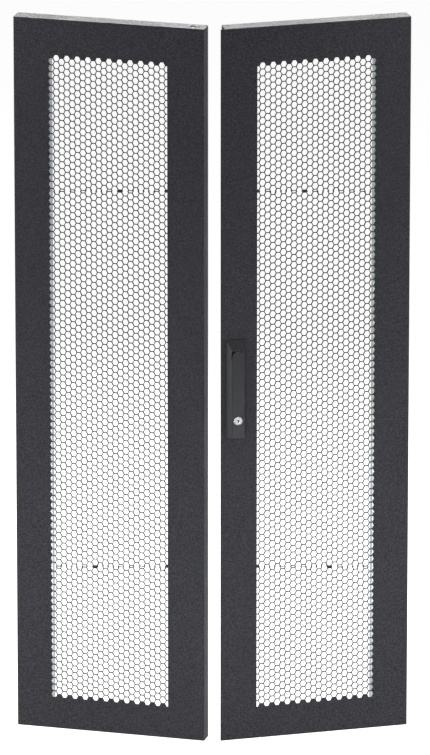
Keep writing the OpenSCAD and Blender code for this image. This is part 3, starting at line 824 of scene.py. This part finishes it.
zinc_plate = metal("milky_zinc_plate", "#a9adb1", "#c3c6c9", 0.38, 2.5)
bright_zinc = metal("bright_zinc_plate", "#c2c5c8", "#d6d8da", 0.24, 1.5)
bare_casting = metal("bare_zinc_die_casting", "#7e8184", "#a0a3a6", 0.5, 1.2, 0.04)
# The light grey of the chrome's mottle is painted highlights of a turned face.
satin_chrome = metal("satin_chrome_with_painted_highlights", "#6f7174", "#b4b6b8", 0.2, 1.6, 0.1)
cut_brass = metal("machined_brass", "#b08a45", "#c9a55c", 0.3, 1.0)
metals = (zinc_plate, bright_zinc, bare_casting, satin_chrome, cut_brass)
print("metals", [m.name for m in metals])

# %% [markdown]
# ## Giving each piece its finish
# The record of the model says which finish each node has. A new piece takes the finish of
# the node that it stands for, so a later change of colour reaches both.
# %% Assign finishes
FINISHES = {
    "powder_coat": powder_coat, "galvanised": galvanised, "zinc_plate": zinc_plate,
    "bright_zinc": bright_zinc, "die_cast": die_cast_coat, "case_zamak": bare_casting,
    "lock_chrome": satin_chrome, "brass": cut_brass, "nylon": moulded_nylon, "rubber": soft_rubber,
}


def dress(piece, material):
    piece.data.materials.clear()
    piece.data.materials.append(material)


for name, piece in [*frame["nodes"].items(), *remade.items()]:
    dress(piece, FINISHES[slot_of[name]])
for piece in skins.values():
    dress(piece, powder_coat)
print("finishes", len(FINISHES), "new pieces", len(remade) + len(skins))

# %% [markdown]
# ## The floor
# A pale floor 30 mm below the door takes its shadow. Stronger lamps would make it white,
# but would wash out the door. Instead it glows for the eye and for reflections only, so it
# reads as white without throwing light on the door.
# %% Floor
FLOOR_Z = -0.03
FLOOR_SIDE, FLOOR_FRONT, FLOOR_BACK = 6, -3, 9
FLOOR_GLOW = 0.68


def plain_ray(tree):
    """1 for rays from the eye, mirrors and glass, else 0."""
    path = add(tree, "LightPath").outputs
    eye_or_gloss = add(tree, "Math", {0: path["Is Camera Ray"], 1: path["Is Glossy Ray"]},
                       operation="MAXIMUM")
    return add(tree, "Math", {0: eye_or_gloss.outputs[0], 1: path["Is Transmission Ray"]},
               operation="MAXIMUM").outputs[0]


floor_bm = bmesh.new()
outline = rectangle(-FLOOR_SIDE, FLOOR_SIDE, FLOOR_FRONT, FLOOR_BACK)
floor_bm.faces.new([floor_bm.verts.new((x, y, FLOOR_Z)) for x, y in outline])
floor_mesh = bpy.data.meshes.new("floor")
floor_bm.to_mesh(floor_mesh)
floor_bm.free()
floor = bpy.data.objects.new("floor", floor_mesh)
bpy.context.scene.collection.objects.link(floor)

white_floor, tree = finish("white_studio_floor")
glow = add(tree, "Math", {0: plain_ray(tree), 1: FLOOR_GLOW}, operation="MULTIPLY")
matt = add(tree, "BsdfDiffuse", {"Color": linear("#e8e8e8")})
shine = add(tree, "Emission", {"Strength": glow.outputs[0]})
both = add(tree, "AddShader", {0: matt.outputs[0], 1: shine.outputs[0]})
add(tree, "OutputMaterial", {"Surface": both.outputs[0]})
dress(floor, white_floor)
print("floor", 2 * FLOOR_SIDE, "by", FLOOR_BACK - FLOOR_FRONT, "m")

# %% [markdown]
# ## The sky
# The sky is white to the eye and in reflections, and an even dim light for all else. A
# white wall behind the door would do the same, but only from one side.
# %% Sky
SKY_LIGHT = 0.32

world = bpy.data.worlds.new("studio")
bpy.context.scene.world = world
world.use_nodes = True
sky = world.node_tree
sky.nodes.clear()
level = add(sky, "MapRange", {"Value": plain_ray(sky), "To Min": SKY_LIGHT, "To Max": 1})
background = add(sky, "Background", {"Color": (1, 1, 1, 1), "Strength": level.outputs[0]})
add(sky, "OutputWorld", {"Surface": background.outputs[0]})
print("sky gives", SKY_LIGHT)

# %% [markdown]
# ## The lamps
# One strong lamp would leave the folds and bevels of a black door in the dark, so it is
# lit as in a studio, by large soft lamps that its edges mirror. Each side has a softbox, a
# small rim light over the upper outer corner, a strip low at the side that draws the
# bevels of the plinth, and a strip low in front that lifts the foot of the leaves. One
# softbox hangs above, and one behind lights the folded top edges. A matte grey in place of
# the coat shows that the front gets a plain level at the inner top and 1.7 times that at
# the foot. The white room mirrored in the coats adds to this, so their blacks are written
# darker than they look.
# %% Lamps
def lamp(name, spot, aim, size, watts):
    """A rectangular lamp at spot that looks at aim."""
    data = bpy.data.lights.new(name, "AREA")
    data.shape = "RECTANGLE"
    data.size, data.size_y = size
    data.energy = watts
    light = bpy.data.objects.new(name, data)
    light.location = spot
    light.rotation_euler = (Vector(aim) - Vector(spot)).to_track_quat("-Z", "Y").to_euler()
    bpy.context.scene.collection.objects.link(light)


for side, name in ((LEFT, "left"), (RIGHT, "right")):
    lamp(name + "_softbox", (side * 2.6, -1.0, 1.5), (side * 0.1, 0, 0.6), (0.9, 1.4), 16)
    lamp(name + "_rim_light", (side * 0.62, -0.28, 1.32), (side * 0.25, 0, 0.95),
         (0.25, 0.25), 1.4)
    lamp(name + "_side_strip", (side * 1.5, -0.35, 0.18), (0, -0.05, 0.58),
         (0.6, 0.3), 6)
    lamp(name + "_low_strip", (side * 0.5, -0.75, 0.08), (side * 0.2, 0, 0.1),
         (0.6, 0.12), 4.2)
lamp("top_softbox", (0, 0.3, 3.2), (0, 0, 0.5), (2.4, 1.6), 20)
lamp("back_softbox", (0, 1.7, 1.68), (0, 0, 1.13), (1.4, 0.5), 34)
print("lamps", len(bpy.data.lights))

# %% [markdown]
# ## Done
# %% Finish
bpy.data.collections.remove(scratch)
